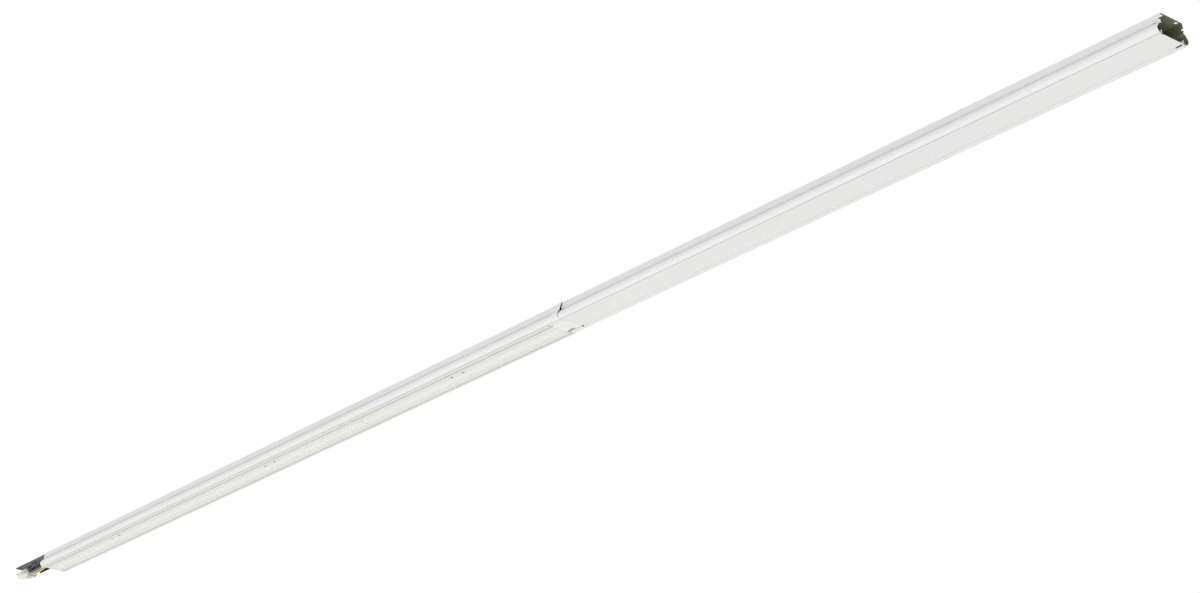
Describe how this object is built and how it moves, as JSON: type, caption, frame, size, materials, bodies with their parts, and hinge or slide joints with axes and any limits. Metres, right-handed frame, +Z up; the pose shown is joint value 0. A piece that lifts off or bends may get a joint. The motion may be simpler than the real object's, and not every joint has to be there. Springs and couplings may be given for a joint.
{
  "type": "continuous-row lighting trunking batten",
  "caption": "Slim folded-steel lighting batten: LED gear tray with lens under one trunking length, blank cover under the next, coupler and plug at one end, open socket at the other.",
  "frame": {"origin": "centre of the trunking's flat top face, half way along the two trunking lengths", "axes": "+X along the row towards the open socket end, +Y across, +Z up towards the ceiling; the light goes down, to -Z"},
  "size_m": [2.9594, 0.0618, 0.0327],
  "materials": {
    "white_steel": "satin powder coat",
    "galvanised_steel": "galvanised",
    "rivet_steel": "zinc plated",
    "spring_steel": "satin",
    "ivory_plastic": "moulded",
    "white_plastic": "moulded",
    "grey_plastic": "moulded",
    "orange_plastic": "moulded",
    "lens_plastic": "clear, prismatic",
    "board_white": "solder mask",
    "led_phosphor": "satin",
    "driver_case": "satin",
    "brass": "tinned",
    "pvc_violet": "satin",
    "pvc_brown": "satin",
    "pvc_black": "satin",
    "pvc_grey": "satin",
    "pvc_blue": "satin",
    "pvc_pink": "satin",
    "pvc_green_yellow": "satin"
  },
  "bodies": {
    "trunking": {"long_trunk_section": "white_steel", "short_trunk_section": "white_steel", "end_coupler": "galvanised_steel", "joint_coupler": "galvanised_steel", "coupler_rivets": "rivet_steel", "wire_straps": "grey_plastic", "wire_violet": "pvc_violet", "wire_brown": "pvc_brown", "wire_black": "pvc_black", "wire_grey": "pvc_grey", "wire_blue": "pvc_blue", "wire_pink": "pvc_pink", "wire_earth": "pvc_green_yellow", "through_plug": "ivory_plastic", "through_plug_contacts": "brass", "through_socket": "ivory_plastic", "through_socket_contacts": "brass", "tap_socket": "white_plastic", "tap_socket_contacts": "brass"},
    "tray": {"gear_tray": "white_steel", "led_board_1": "board_white", "led_board_2": "board_white", "led_board_3": "board_white", "leds_1": "led_phosphor", "leds_2": "led_phosphor", "leds_3": "led_phosphor", "lens_plate_1": "lens_plastic", "lens_plate_2": "lens_plastic", "lens_plate_3": "lens_plastic", "lens_screws": "rivet_steel", "board_connectors": "white_plastic", "board_links": "pvc_pink", "feed_lead_positive": "pvc_pink", "feed_lead_negative": "pvc_black", "end_cap_near": "white_plastic", "end_cap_far": "white_plastic", "tool_pocket": "grey_plastic", "led_driver": "driver_case", "driver_straps": "galvanised_steel", "strap_screws": "rivet_steel", "input_terminal": "white_plastic", "output_terminal": "white_plastic", "line_lead": "pvc_brown", "neutral_lead": "pvc_blue", "earth_lead": "pvc_green_yellow", "earth_screw": "rivet_steel", "tap_plug": "white_plastic", "tap_plug_pins": "brass", "tray_springs": "spring_steel", "tray_spring_rivets": "rivet_steel"},
    "selector": {"phase_selector": "orange_plastic"},
    "cover": {"blank_cover": "white_steel", "cover_springs": "spring_steel", "cover_spring_rivets": "rivet_steel"}
  },
  "joints": [
    {"name": "tray_drop", "type": "slide", "parent": "trunking", "child": "tray", "axis": [0, 0, -1], "range_m": [0, 0.06], "deforming": ["tray_springs"]},
    {"name": "cover_drop", "type": "slide", "parent": "trunking", "child": "cover", "axis": [0, 0, -1], "range_m": [0, 0.06], "deforming": ["cover_springs"]},
    {"name": "phase_select", "type": "slide", "parent": "tray", "child": "selector", "axis": [0, 1, 0], "range_m": [0, 0.006]}
  ]
}
